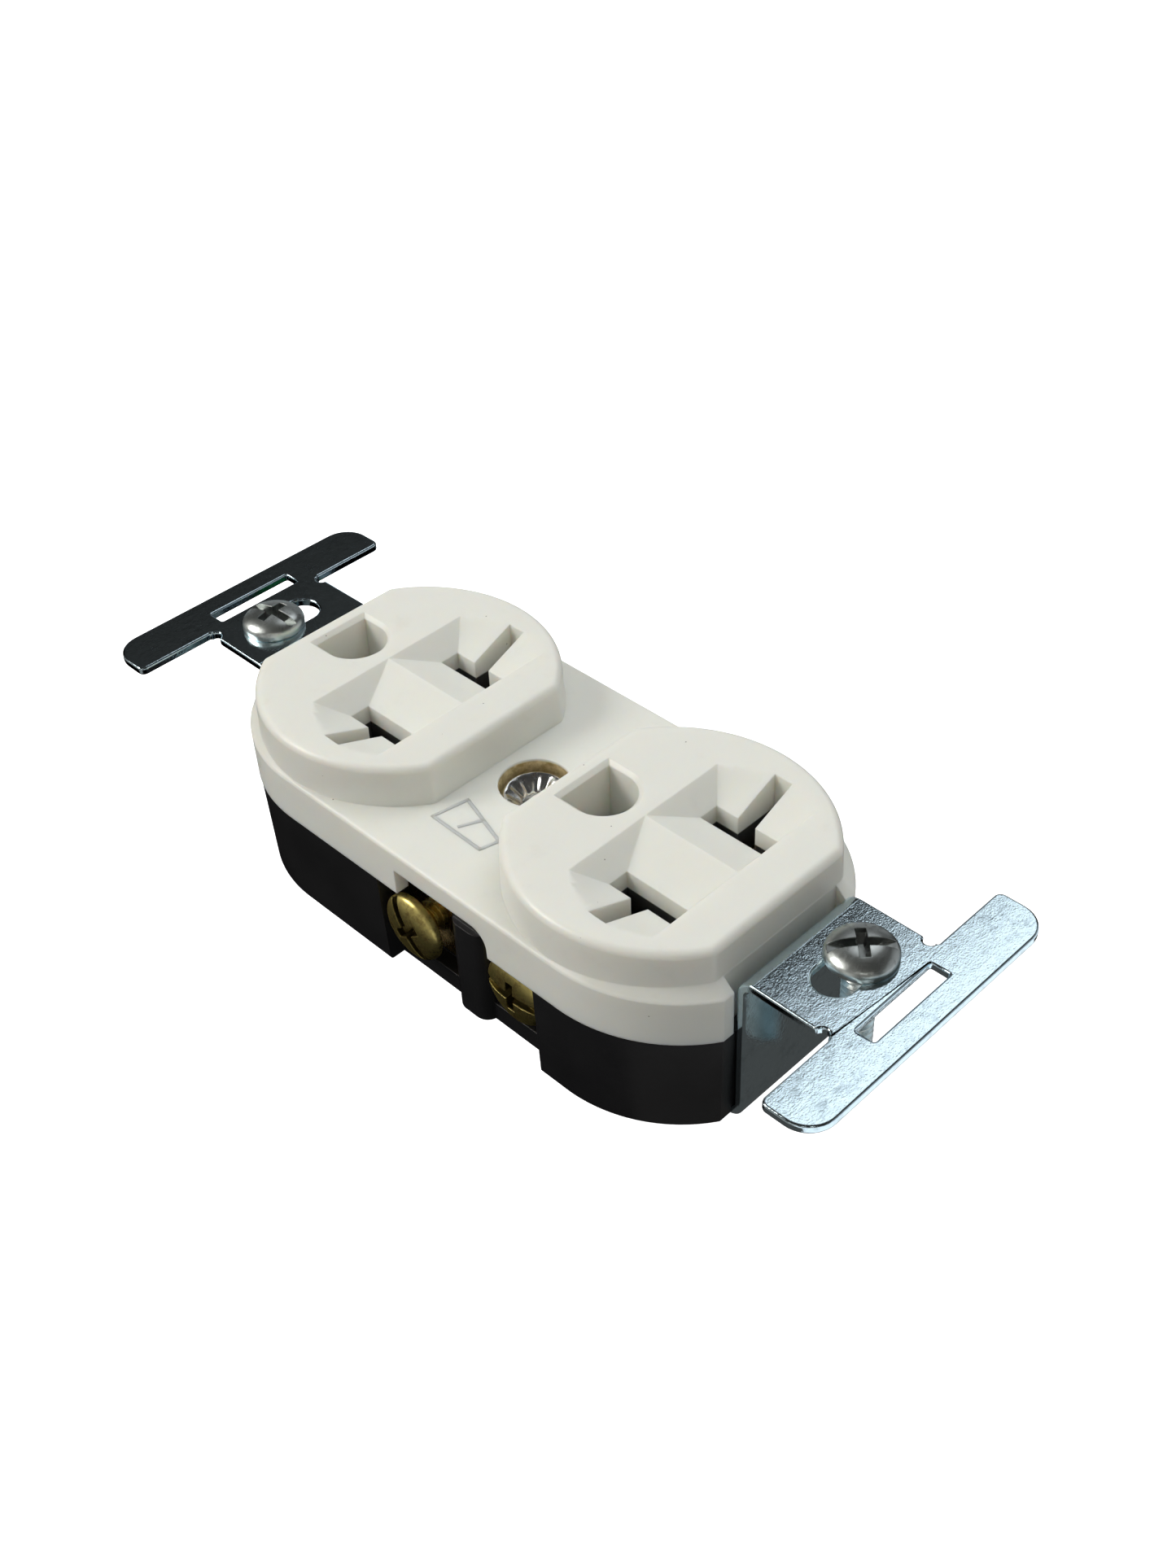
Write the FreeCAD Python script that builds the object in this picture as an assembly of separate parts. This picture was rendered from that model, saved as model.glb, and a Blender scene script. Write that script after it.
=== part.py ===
import FreeCAD, Part
import math
import os

# Duplex wall outlet with a wrap-around steel strap, built from its separate
# pieces.  Millimetres.  The outlet lies on its back: +Z is out of the faces,
# +Y is the long way (each face has its ground hole on its -Y side).  The
# origin is the middle of the mounting plane, the underside of the two ears.

V = FreeCAD.Vector

# cutting tools run past what they cut, and joined shapes sink into each other
overrun = 1.0
sunk = 0.1
touch = 0.001

# heights above the mounting plane
face_z = 4.4
deck_z = face_z - 5.0
slab_z = face_z - 7.6
skirt_z = face_z - 10.8
back_z = face_z - 23.2

# the two faces
face_spacing = 38.9
face_radius = 16.95
face_flat = 14.2
face_draft = 0.18
face_edge_radius = 0.9
face_corner_radius = 1.2

# body outline: straight sides, round ends cut by a flat
body_half_width = 17.3
body_end_centre = 20.6
body_end = 35.0
base_draft = 0.4
base_edge_radius = 0.5
skirt_wall = 1.6
parting_gap = 0.1
parting_step = 0.05
tongue_gap = 0.15
shoulder_size = 1.35
shoulder_top_z = face_z - 3.95
raised_foot_z = deck_z - 0.6
deck_edge_radius = 0.45

# a slot pair in one face, from the face's own centre
funnel_near_y = -3.36
funnel_far_y = 8.75
funnel_corner_x = 10.7
funnel_arc_x = 3.85
funnel_arc_y = 3.5
funnel_arc_radius = 9.7
funnel_depth = 2.3
slot_inner_x = 5.3
slot_outer_x = 7.75
slot_near_y = -0.85
slot_far_y = 7.15
cross_slot_y0 = 2.0
cross_slot_y1 = 4.25
cross_slot_end_x = 13.35
slot_join = 0.01
blade_line_y = 3.12

# ground hole: flat on the -Y side, round on the +Y side
ground_hole_radius = 3.5
ground_hole_y = -9.0
ground_hole_flat_y = -11.75
ground_hole_lead_in = 0.45
lead_in_rim = 0.02

# strap
sheet = 1.0
strap_half_width = 7.9
strap_notch_half_width = 8.2
strap_notch_top_z = face_z - 0.5
web_half_width = 6.5
web_gap = 0.2
web_foot_length = 2.5
leg_y = 35.0
bend_radius = 1.0
ear_plate_end = 45.9
bar_outer_y = 51.9
bar_half_length = 17.6
bar_outer_corner = 3.2
bar_inner_corner = 0.8
snap_slot_y0 = 46.8
snap_slot_y1 = 49.0
snap_slot_half_length = 5.6
snap_notch_depth = 0.7
snap_notch_y = 45.0
mounting_hole_y = 41.67
mounting_slot_radius = 2.2
mounting_slot_half_length = 4.2

# 6-32 screws
thread_radius = 1.75
thread_hole_radius = 1.8
thread_root_radius = 1.4
point_length = 0.7
point_radius = 1.1
dome_share = 0.8
cross_share = 1.3
mounting_screw_length = 19.05
mounting_head_radius = 3.6
mounting_head_height = 2.0
mounting_screw_offset = 1.9
mounting_slot_turn = 25
terminal_head_radius = 4.0
terminal_head_height = 1.7
terminal_screw_length = 7.5
terminal_slot_turns = (35, 90)
driver_slot_width = 1.0
driver_cross_half = 1.9
driver_depth = 1.0

# terminal bay on each long side
bay_y0 = -6.4
bay_y1 = 17.0
bay_back_x = 13.3
bay_sill_x = 15.0
bay_sill_height = 2.4
post_y0 = 3.3
post_y1 = 8.3
post_x = 16.2
post_round = 1.6
notch_y0 = -3.0
notch_y1 = 10.7
notch_round = 2.2
notch_inner_x = body_half_width - skirt_wall - 0.5
screw_pocket_radius = 2.1
screw_pocket_end_x = 5.2
terminal_z = face_z - 15.6
terminal_y = (-2.0, 12.6)
terminal_head_x = (17.6, 16.6)

# brass
brass_sheet = 0.8
plate_x = 12.4
plate_z0 = back_z + 2.6
plate_z1 = slab_z - 0.3
contact_sheet = 0.6
contact_floor_z = back_z + 3.4
contact_top_z = slab_z - 0.5
contact_half_length = 3.6
contact_leaf_x = 0.95
contact_lip_height = 1.6
contact_lip_lean = 0.7
contact_rise_z = contact_top_z - 2.0
wing_start_x = 2.4
wing_gap = 0.5
wing_top_z = contact_top_z - 1.0
pocket_inner_x = 3.1
pocket_clearance = 0.25
pocket_rest = 0.02
plate_gap = 0.1
tab_height = 2.2
tab_hole_radius = 0.8

# ground path
ground_clip_floor_z = back_z + 3.0
ground_clip_radius = 2.75
ground_clip_half_length = 2.6
ground_clip_pinch = 0.5
ground_clip_straight_z = slab_z - 4.5
ground_clip_pinch_z = slab_z - 2.2
ground_clip_top_z = slab_z - 0.6
ground_rivet_offset = 1.45
ground_rivet_radius = 0.8
ground_rivet_head = 1.6
ground_rivet_inner_head = 1.15
ground_rivet_head_height = 0.6
coin_depth = 0.5
ground_tab_x = 12.4
ground_tab_half = 4.4
ground_tab_corner = 1.5
ground_boss_radius = 3.05
ground_boss_height = 0.7
ground_screw_z = -10.5
ground_screw_pocket_radius = 3.35
ground_screw_pocket_depth = 7.5
ground_screw_turn = 20
ground_head_height = 1.9
ground_screw_gap = 0.8

# centre rivet: tube, funnel in two slopes, rolled foot
rivet_outer_radius = 2.3
rivet_bore_radius = 1.42
rivet_clearance = 0.1
rivet_fit = 0.05
rivet_throat_z = slab_z - 0.2
rivet_neck_radius = 1.8
rivet_cup_radius = 3.45
rivet_cup_rim = 0.25
rivet_cup_z = deck_z - 1.3
rivet_foot_radius = 3.6
counterbore_radius = 3.9
counterbore_z = deck_z - 2.1


def box(x0, x1, y0, y1, z0, z1):
    corner = V(min(x0, x1), min(y0, y1), min(z0, z1))
    return Part.makeBox(abs(x1 - x0), abs(y1 - y0), abs(z1 - z0), corner)


def rod(radius, start, end):
    axis = end.sub(start)
    return Part.makeCylinder(radius, axis.Length, start, axis)


def cone(radius_start, radius_end, start, end):
    axis = end.sub(start)
    return Part.makeCone(radius_start, radius_end, axis.Length, start, axis)


def line(start, end):
    return Part.LineSegment(start, end).toShape()


def arc(start, middle, end):
    return Part.Arc(start, middle, end).toShape()


def prism(wire, height):
    return Part.Face(wire).extrude(V(0, 0, height))


def polygon(points):
    return Part.makePolygon(points + [points[0]])


def other_side(shape):
    return shape.mirror(V(0, 0, 0), V(1, 0, 0))


def other_end(shape):
    return shape.mirror(V(0, 0, 0), V(0, 1, 0))


def fuse(shapes):
    joined = shapes[0]
    for shape in shapes[1:]:
        joined = joined.fuse(shape)
    return joined.removeSplitter()


def cut(shape, tools):
    for tool in tools:
        shape = shape.cut(tool)
    return shape


def face_centres():
    return (-face_spacing / 2, face_spacing / 2)


def arc_middle(centre_y, radius, x, y):
    """Point halfway round the end arc that starts at its widest point."""
    half_angle = math.atan2(y - centre_y, x) / 2
    return radius * math.cos(half_angle), centre_y + radius * math.sin(half_angle)


def body_wire(inset, z):
    """Straight sides, round ends cut off flat, moved in by the inset."""
    width = body_half_width - inset
    centre = body_end_centre
    end = body_end - inset
    flat = math.sqrt(width ** 2 - (end - centre) ** 2)
    mid_x, mid_y = arc_middle(centre, width, flat, end)
    edges = [
        line(V(width, -centre, z), V(width, centre, z)),
        arc(V(width, centre, z), V(mid_x, mid_y, z), V(flat, end, z)),
        line(V(flat, end, z), V(-flat, end, z)),
        arc(V(-flat, end, z), V(-mid_x, mid_y, z), V(-width, centre, z)),
        line(V(-width, centre, z), V(-width, -centre, z)),
        arc(V(-width, -centre, z), V(-mid_x, -mid_y, z), V(-flat, -end, z)),
        line(V(-flat, -end, z), V(flat, -end, z)),
        arc(V(flat, -end, z), V(mid_x, -mid_y, z), V(width, -centre, z)),
    ]
    return Part.Wire(edges)


def face_wire(centre_y, inset, z):
    """Circle with a flat at each end of the long way."""
    radius = face_radius - inset
    flat = face_flat - inset
    chord = math.sqrt(radius ** 2 - flat ** 2)
    upper = centre_y + flat
    lower = centre_y - flat
    edges = [
        arc(V(chord, lower, z), V(radius, centre_y, z), V(chord, upper, z)),
        line(V(chord, upper, z), V(-chord, upper, z)),
        arc(V(-chord, upper, z), V(-radius, centre_y, z), V(-chord, lower, z)),
        line(V(-chord, lower, z), V(chord, lower, z)),
    ]
    return Part.Wire(edges)


def edges_at(shape, z):
    """Edges that lie wholly in the level plane at z."""
    found = []
    for edge in shape.Edges:
        limits = edge.BoundBox
        if abs(limits.ZMin - z) < touch and abs(limits.ZMax - z) < touch:
            found.append(edge)
    return found


def upright_edges(shape):
    """Edges that run up the shape, drafted or not, in the corners of its outline."""
    limits = shape.BoundBox
    found = []
    for edge in shape.Edges:
        reach = edge.BoundBox
        level = reach.ZLength < limits.ZLength - touch
        wide = reach.XLength + reach.YLength > 3 * face_draft
        if not level and not wide:
            found.append(edge)
    return found


def raised_face(centre_y):
    foot = face_wire(centre_y, 0, raised_foot_z)
    top = face_wire(centre_y, face_draft, face_z)
    block = Part.makeLoft([foot, top], True, True)
    block = block.makeFillet(face_corner_radius, upright_edges(block))
    return block.makeFillet(face_edge_radius, edges_at(block, face_z))


def shoulder():
    """Sloped ledge that runs round both ends, outside the raised faces."""
    block = prism(body_wire(0, raised_foot_z), shoulder_top_z - raised_foot_z)
    block = block.makeChamfer(shoulder_size, edges_at(block, shoulder_top_z))
    wide = body_half_width + overrun
    lower, upper = face_centres()
    middle = box(-wide, wide, lower, upper, raised_foot_z - overrun, face_z)
    return block.cut(middle)


def slot_funnel(centre_y):
    """Four slopes that guide a blade down to the slot at +X."""
    top = face_z
    low = face_z - funnel_depth
    reach = funnel_far_y - funnel_arc_y
    far_x = funnel_arc_x + math.sqrt(funnel_arc_radius ** 2 - reach ** 2)
    near = centre_y + funnel_near_y
    far = centre_y + funnel_far_y
    middle = V(funnel_arc_x + funnel_arc_radius, centre_y + funnel_arc_y, top)
    rim = Part.Wire([
        line(V(0, near, top), V(funnel_corner_x, near, top)),
        arc(V(funnel_corner_x, near, top), middle, V(far_x, far, top)),
        line(V(far_x, far, top), V(0, far, top)),
        line(V(0, far, top), V(0, near, top)),
    ])
    throat = polygon([
        V(slot_inner_x, centre_y + slot_near_y, low),
        V(slot_outer_x, centre_y + slot_near_y, low),
        V(slot_outer_x, centre_y + slot_far_y, low),
        V(slot_inner_x, centre_y + slot_far_y, low),
    ])
    return Part.makeLoft([rim, throat], True, True)


def t_slot(centre_y):
    """Blade slot with its cross arm, open from the face to the underside."""
    upright = box(
        slot_inner_x, slot_outer_x,
        centre_y + slot_near_y, centre_y + slot_far_y,
        slab_z - overrun, face_z - funnel_depth + slot_join,
    )
    arm = box(
        slot_outer_x - sunk, cross_slot_end_x,
        centre_y + cross_slot_y0, centre_y + cross_slot_y1,
        slab_z - overrun, face_z + overrun,
    )
    return fuse([slot_funnel(centre_y), upright, arm])


def ground_arch(centre_y, grow, z0, z1):
    """Upright prism with the ground hole's outline, grown all round."""
    radius = ground_hole_radius + grow
    flat = centre_y + ground_hole_flat_y - grow
    middle = centre_y + ground_hole_y
    wire = Part.Wire([
        line(V(-radius, flat, z0), V(radius, flat, z0)),
        line(V(radius, flat, z0), V(radius, middle, z0)),
        arc(V(radius, middle, z0), V(0, middle + radius, z0), V(-radius, middle, z0)),
        line(V(-radius, middle, z0), V(-radius, flat, z0)),
    ])
    return prism(wire, z1 - z0)


def ground_hole(centre_y):
    shaft = ground_arch(centre_y, 0, slab_z - overrun, face_z + overrun)
    flare_z = face_z - ground_hole_lead_in
    flare = ground_arch(centre_y, ground_hole_lead_in, flare_z, face_z + overrun)
    flare = flare.makeChamfer(ground_hole_lead_in - lead_in_rim, edges_at(flare, flare_z))
    return fuse([shaft, flare])


def strap_notch():
    """Gap in the skirt at the +Y end where the strap's leg stands."""
    return box(
        -strap_notch_half_width, strap_notch_half_width,
        face_spacing / 2 + face_flat, body_end + overrun,
        skirt_z - overrun, strap_notch_top_z,
    )


def skirt_opening():
    """Step in the skirt's lower edge that bares the terminal screws."""
    block = box(
        notch_inner_x, body_half_width + overrun,
        notch_y0, notch_y1, skirt_z - overrun, slab_z,
    )
    rounded = []
    for edge in edges_at(block, slab_z):
        if edge.BoundBox.YMin > notch_y1 - touch:
            rounded.append(edge)
    return block.makeFillet(notch_round, rounded)


def face_cover():
    body = prism(body_wire(0, skirt_z), deck_z - skirt_z)
    body = body.makeFillet(deck_edge_radius, edges_at(body, deck_z))
    pieces = [body, shoulder()]
    for centre_y in face_centres():
        pieces.append(raised_face(centre_y))
    cover = fuse(pieces)
    hollow = prism(body_wire(skirt_wall, skirt_z - overrun), slab_z - skirt_z + overrun)
    tools = [hollow, strap_notch(), other_end(strap_notch())]
    tools += [skirt_opening(), other_side(skirt_opening())]
    for centre_y in face_centres():
        tools.append(t_slot(centre_y))
        tools.append(other_side(t_slot(centre_y)))
        tools.append(ground_hole(centre_y))
    tools.append(rod(counterbore_radius, V(0, 0, counterbore_z), V(0, 0, face_z)))
    tools.append(rod(rivet_outer_radius + rivet_clearance, V(0, 0, slab_z - overrun), V(0, 0, face_z)))
    return cut(cover, tools)


def terminal_bay():
    """Room on the +X side for the two terminal screws and their wires."""
    low = back_z - overrun
    high = slab_z + overrun
    inner = bay_back_x - overrun
    space = box(bay_back_x, body_half_width + overrun, bay_y0, bay_y1, low, high)
    sill = box(inner, bay_sill_x, bay_y0 - overrun, bay_y1 + overrun, low, back_z + bay_sill_height)
    post = box(inner, post_x, post_y0, post_y1, low, high)
    outer = [edge for edge in upright_edges(post) if edge.BoundBox.XMin > post_x - touch]
    post = post.makeFillet(post_round, outer)
    return space.cut(sill).cut(post)


def contact_pocket(centre_y):
    """Pocket in the base for one +X blade contact."""
    middle = centre_y + blade_line_y
    reach = contact_half_length + pocket_clearance
    return box(
        pocket_inner_x, plate_x + sunk,
        middle - reach, middle + reach,
        contact_floor_z - pocket_rest, slab_z + overrun,
    )


def plate_ends():
    """First and last Y of the side plate."""
    lower, upper = face_centres()
    return lower + blade_line_y - contact_half_length, upper + blade_line_y + contact_half_length


def plate_pocket():
    y0, y1 = plate_ends()
    return box(
        plate_x - plate_gap, plate_x + brass_sheet + plate_gap,
        y0 - pocket_clearance, y1 + pocket_clearance,
        plate_z0 - pocket_rest, slab_z + overrun,
    )


def screw_pocket(y):
    """Blind hole in the base for the end of a terminal screw."""
    return rod(screw_pocket_radius, V(screw_pocket_end_x, y, terminal_z), V(bay_back_x, y, terminal_z))


def ground_pocket(centre_y):
    middle = centre_y + ground_hole_y
    reach = ground_clip_half_length + pocket_clearance
    side = ground_clip_radius + contact_sheet + pocket_clearance
    return box(-side, side, middle - reach, middle + reach,
               ground_clip_floor_z - pocket_rest, slab_z + overrun)


def strap_groove():
    """Shallow channel across the back that takes the strap's web."""
    half = web_half_width + web_gap
    end = body_end + overrun
    return box(-half, half, -end, end, back_z - overrun, back_z + sheet)


def base_housing():
    foot = body_wire(base_draft, back_z)
    rim = body_wire(parting_gap, skirt_z - parting_step)
    shell = Part.makeLoft([foot, rim], True, True)
    shell = shell.makeFillet(base_edge_radius, edges_at(shell, back_z))
    tongue = prism(body_wire(skirt_wall + tongue_gap, skirt_z - sunk), slab_z - skirt_z + sunk)
    tongue = tongue.cut(strap_notch()).cut(other_end(strap_notch()))
    base = fuse([shell, tongue])
    tools = [strap_groove()]
    for side in (lambda shape: shape, other_side):
        tools.append(side(terminal_bay()))
        tools.append(side(plate_pocket()))
        for centre_y in face_centres():
            tools.append(side(contact_pocket(centre_y)))
        for y in terminal_y:
            tools.append(side(screw_pocket(y)))
    for centre_y in face_centres():
        tools.append(ground_pocket(centre_y))
        rivet_y = centre_y + ground_hole_y + ground_rivet_offset
        tools.append(rod(ground_rivet_radius + rivet_fit, V(0, rivet_y, back_z), V(0, rivet_y, slab_z)))
    tools.append(rod(rivet_outer_radius + rivet_clearance,
                     V(0, 0, back_z - overrun), V(0, 0, slab_z + overrun)))
    tools.append(rod(ground_screw_pocket_radius,
                     V(-ground_tab_x, -body_end - overrun, ground_screw_z),
                     V(-ground_tab_x, -body_end + ground_screw_pocket_depth, ground_screw_z)))
    tools.append(mounting_strap())
    return cut(base, tools)


def ear():
    """Flat ear at the +Y end: plate, screw slot, snap-off bar."""
    tangent_y = leg_y + sheet + bend_radius
    plate = box(-strap_half_width, strap_half_width, tangent_y, ear_plate_end + overrun, 0, sheet)
    bar = box(-bar_half_length, bar_half_length, ear_plate_end, bar_outer_y, 0, sheet)
    outer = [edge for edge in upright_edges(bar) if edge.BoundBox.YMin > bar_outer_y - touch]
    bar = bar.makeFillet(bar_outer_corner, outer)
    inner = [edge for edge in upright_edges(bar) if edge.BoundBox.YMax < ear_plate_end + touch]
    bar = bar.makeFillet(bar_inner_corner, inner)
    body = fuse([plate, bar])
    low = -overrun
    high = sheet + overrun
    snap = box(-snap_slot_half_length, snap_slot_half_length, snap_slot_y0, snap_slot_y1, low, high)
    notch = rod(snap_notch_depth, V(strap_half_width, snap_notch_y, low),
                V(strap_half_width, snap_notch_y, high))
    straight = mounting_slot_half_length - mounting_slot_radius
    hole = box(-straight, straight, mounting_hole_y - mounting_slot_radius,
               mounting_hole_y + mounting_slot_radius, low, high)
    tools = [snap, notch, other_side(notch), hole]
    for x in (-straight, straight):
        tools.append(rod(mounting_slot_radius, V(x, mounting_hole_y, low), V(x, mounting_hole_y, high)))
    return cut(body, tools)


def strap_bend(y, z, upper):
    """Quarter bend of the sheet about an axis along X through (y, z)."""
    start = V(-strap_half_width, y, z)
    end = V(strap_half_width, y, z)
    ring = rod(bend_radius + sheet, start, end).cut(rod(bend_radius, start, end))
    reach = bend_radius + sheet + overrun
    wide = strap_half_width + overrun
    if upper:
        return ring.common(box(-wide, wide, y - reach, y, z, z + reach))
    return ring.common(box(-wide, wide, y, y + reach, z - reach, z))


def ground_tab():
    """Tab beside the -Y leg, on the -X side, that carries the ground screw."""
    reach = ground_tab_x + ground_tab_half
    tab = box(-reach, 0, -leg_y - sheet, -leg_y,
              ground_screw_z - ground_tab_half, ground_screw_z + ground_tab_half)
    corners = []
    for edge in tab.Edges:
        limits = edge.BoundBox
        if limits.YLength > sheet - touch and limits.XMax < touch - reach:
            corners.append(edge)
    tab = tab.makeFillet(ground_tab_corner, corners)
    boss = rod(ground_boss_radius, V(-ground_tab_x, -leg_y - sunk, ground_screw_z),
               V(-ground_tab_x, -leg_y + ground_boss_height, ground_screw_z))
    return tab.fuse(boss)


def mounting_strap():
    top_bend_y = leg_y + sheet + bend_radius
    top_bend_z = -bend_radius
    low_bend_y = leg_y - bend_radius
    low_bend_z = back_z + sheet + bend_radius
    leg = box(-strap_half_width, strap_half_width, leg_y, leg_y + sheet, low_bend_z, top_bend_z)
    half = [
        ear(),
        strap_bend(top_bend_y, top_bend_z, True),
        leg,
        strap_bend(low_bend_y, low_bend_z, False),
        box(-strap_half_width, strap_half_width, low_bend_y - web_foot_length, low_bend_y,
            back_z, back_z + sheet),
    ]
    pieces = list(half)
    for shape in half:
        pieces.append(other_end(shape))
    pieces.append(box(-web_half_width, web_half_width, -low_bend_y, low_bend_y, back_z, back_z + sheet))
    pieces.append(ground_tab())
    strap = fuse(pieces)
    low = back_z - overrun
    high = back_z + sheet + overrun
    coined_z = back_z + coin_depth
    tools = [rod(thread_hole_radius, V(-ground_tab_x, -leg_y - sheet - overrun, ground_screw_z),
                 V(-ground_tab_x, -leg_y + ground_boss_height + overrun, ground_screw_z))]
    tools.append(rod(rivet_outer_radius + rivet_fit, V(0, 0, low), V(0, 0, high)))
    tools.append(rod(rivet_foot_radius + rivet_clearance, V(0, 0, low), V(0, 0, coined_z)))
    for centre_y in face_centres():
        y = centre_y + ground_hole_y + ground_rivet_offset
        tools.append(rod(ground_rivet_radius + rivet_fit, V(0, y, low), V(0, y, high)))
        tools.append(rod(ground_rivet_head + rivet_clearance, V(0, y, low), V(0, y, coined_z)))
    return cut(strap, tools)


def center_rivet():
    """Hollow rivet: cup at the deck, tube through the body, foot at the back."""
    neck = V(0, 0, counterbore_z)
    rim = V(0, 0, rivet_cup_z)
    tube = rod(rivet_outer_radius, V(0, 0, back_z), neck)
    foot = rod(rivet_foot_radius, V(0, 0, back_z), V(0, 0, back_z + coin_depth))
    cup = cone(rivet_outer_radius, rivet_cup_radius, neck, rim)
    body = fuse([tube, foot, cup])
    bore = rod(rivet_bore_radius, V(0, 0, back_z - overrun), V(0, 0, deck_z))
    throat = cone(rivet_bore_radius, rivet_neck_radius, V(0, 0, rivet_throat_z), neck)
    funnel = cone(rivet_neck_radius, rivet_cup_radius - rivet_cup_rim, neck, rim)
    return cut(body, [bore, throat, funnel])


def driver_recess(top, reach):
    """Straight slot right across with a deeper cross, cut down from the head's top."""
    half = driver_slot_width / 2
    high = top + overrun
    floor = top - cross_share * driver_depth
    slot = box(-reach, reach, -half, half, top - driver_depth, high)
    arm = box(-half, half, -driver_cross_half, driver_cross_half, floor, high)
    heart = box(-driver_cross_half, driver_cross_half, -half, half, floor, high)
    return fuse([slot, arm, heart])


def machine_screw(head_radius, head_height, length):
    """Screw on the Z axis: the head's bearing face at z = 0, the shank below."""
    dome = rod(head_radius, V(0, 0, 0), V(0, 0, head_height))
    dome = dome.makeFillet(dome_share * head_height, edges_at(dome, head_height))
    point = V(0, 0, -length + point_length)
    shank = rod(thread_radius, point, V(0, 0, 0))
    tip = cone(point_radius, thread_radius, V(0, 0, -length), point)
    screw = fuse([dome, shank, tip])
    return screw.cut(driver_recess(head_height, head_radius + overrun))


def mounting_screw(end):
    screw = machine_screw(mounting_head_radius, mounting_head_height, mounting_screw_length)
    screw.rotate(V(0, 0, 0), V(0, 0, 1), mounting_slot_turn * end)
    screw.translate(V(-end * mounting_screw_offset, end * mounting_hole_y, sheet))
    return screw


def terminal_screw(index):
    """Terminal screw on the +X side, backed out as supplied."""
    screw = machine_screw(terminal_head_radius, terminal_head_height, terminal_screw_length)
    screw.rotate(V(0, 0, 0), V(0, 0, 1), terminal_slot_turns[index])
    screw.rotate(V(0, 0, 0), V(0, 1, 0), 90)
    screw.translate(V(terminal_head_x[index] - terminal_head_height, terminal_y[index], terminal_z))
    return screw


def ground_screw():
    screw = machine_screw(terminal_head_radius, ground_head_height, terminal_screw_length)
    screw.rotate(V(0, 0, 0), V(0, 0, 1), ground_screw_turn)
    screw.rotate(V(0, 0, 0), V(1, 0, 0), 90)
    screw.translate(V(-ground_tab_x, -leg_y - sheet - ground_screw_gap, ground_screw_z))
    return screw


def side_plate():
    """Brass plate behind the two terminal screws, with its snap-off tab."""
    y0, y1 = plate_ends()
    plate = box(plate_x, plate_x + brass_sheet, y0, y1, plate_z0, plate_z1)
    inner = plate_x - overrun
    outer = plate_x + brass_sheet + overrun
    tab_y = (post_y0 + post_y1) / 2
    tab_z = plate_z1 - tab_height / 2
    tools = [box(inner, outer, post_y0, post_y1, plate_z0 - overrun, plate_z1 - tab_height)]
    tools.append(rod(tab_hole_radius, V(inner, tab_y, tab_z), V(outer, tab_y, tab_z)))
    for y in terminal_y:
        tools.append(rod(thread_hole_radius, V(inner, y, terminal_z), V(outer, y, terminal_z)))
    return cut(plate, tools)


def leaf_pair(x0, x1, middle_y, half_length):
    """Two upright leaves facing each other across a blade, lips turned out."""
    leaves = []
    half = contact_sheet / 2
    near = middle_y - half_length
    lip_foot = contact_top_z - contact_lip_height
    for x, lean in ((x0, -1), (x1, 1)):
        leaf = box(x - half, x + half, near, middle_y + half_length, contact_floor_z, lip_foot)
        shift = contact_lip_lean * lean
        lip = polygon([
            V(x - half, near, lip_foot),
            V(x + half, near, lip_foot),
            V(x + half + shift, near, contact_top_z),
            V(x - half + shift, near, contact_top_z),
        ])
        leaves.append(leaf)
        leaves.append(Part.Face(lip).extrude(V(0, 2 * half_length, 0)))
    return leaves


def blade_contact(centre_y):
    """Folded brass contact under one T slot, joined to the side plate."""
    middle = centre_y + blade_line_y
    blade_x = (slot_inner_x + slot_outer_x) / 2
    near = middle - contact_half_length
    far = middle + contact_half_length
    half = contact_sheet / 2
    inner = blade_x - contact_leaf_x
    pieces = leaf_pair(inner, blade_x + contact_leaf_x, middle, contact_half_length)
    pieces.append(box(inner - half, plate_x, near, far, contact_floor_z, contact_floor_z + contact_sheet))
    pieces.append(box(plate_x - contact_sheet, plate_x, near, far, contact_floor_z, contact_rise_z))
    for y in (middle - contact_leaf_x, middle + contact_leaf_x):
        pieces.append(box(blade_x + wing_start_x, plate_x - contact_sheet - wing_gap,
                          y - half, y + half, contact_floor_z, wing_top_z))
    return fuse(pieces)


def ground_clip(centre_y):
    """U-shaped ground contact standing on the base floor."""
    middle = centre_y + ground_hole_y
    outer = ground_clip_radius + contact_sheet
    y0 = middle - ground_clip_half_length
    y1 = middle + ground_clip_half_length
    floor = box(-outer, outer, y0, y1, ground_clip_floor_z, ground_clip_floor_z + contact_sheet)
    pieces = [floor]
    path = (
        (outer, ground_clip_floor_z), (outer, ground_clip_straight_z),
        (outer - ground_clip_pinch, ground_clip_pinch_z), (outer, ground_clip_top_z),
    )
    outline = list(path)
    for x, z in reversed(path):
        outline.append((x - contact_sheet, z))
    for side in (-1, 1):
        profile = polygon([V(side * x, y0, z) for x, z in outline])
        pieces.append(Part.Face(profile).extrude(V(0, y1 - y0, 0)))
    clip = fuse(pieces)
    rivet_y = middle + ground_rivet_offset
    return clip.cut(rod(ground_rivet_radius + rivet_fit, V(0, rivet_y, back_z), V(0, rivet_y, slab_z)))


def ground_rivet(centre_y):
    """Small rivet that holds the clip's floor to the strap, beside the pin's line."""
    y = centre_y + ground_hole_y + ground_rivet_offset
    top_z = ground_clip_floor_z + contact_sheet
    head_z = top_z + ground_rivet_head_height
    foot = rod(ground_rivet_head, V(0, y, back_z), V(0, y, back_z + coin_depth))
    stem = rod(ground_rivet_radius, V(0, y, back_z), V(0, y, head_z))
    head = rod(ground_rivet_inner_head, V(0, y, top_z), V(0, y, head_z))
    return fuse([foot, stem, head])


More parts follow.
